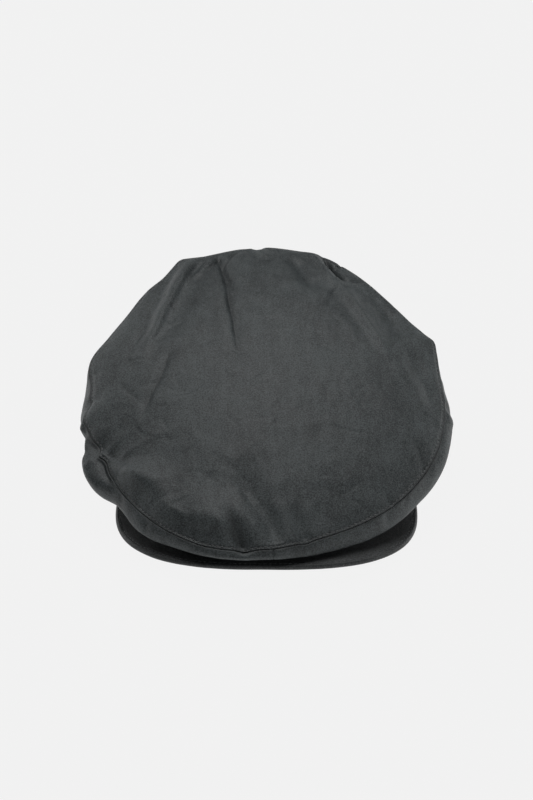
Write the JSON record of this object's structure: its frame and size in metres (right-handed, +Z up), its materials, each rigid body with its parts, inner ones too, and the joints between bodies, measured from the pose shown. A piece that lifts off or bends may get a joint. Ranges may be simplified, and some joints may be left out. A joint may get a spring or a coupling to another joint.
{
  "type": "waxed flat cap",
  "caption": "Soft flat cap of waxed cotton with one large top panel, side panels and a stiff peak under its overhanging front.",
  "frame": {"origin": "on the surface that the cap stands on, under the middle of its outline", "axes": "+Z up, +Y towards the back of the cap and -Y towards the peak, +X to the right as seen from the front. Node names use left and right as seen from the front."},
  "size_m": [0.241, 0.2621, 0.0944],
  "materials": {
    "crown_cloth": "waxed cotton, smooth and slightly greasy, faintly mottled grey with lighter rubbed creases",
    "side_cloth": "the same waxed cotton, cut on the other grain, topstitched beside its seams",
    "peak_cloth": "the same waxed cotton drawn tight over a stiff board, stitched round its edge"
  },
  "bodies": {
    "root": {"crown_top": "crown_cloth", "side_right": "side_cloth", "side_left": "side_cloth", "peak": "peak_cloth"}
  },
  "joints": []
}
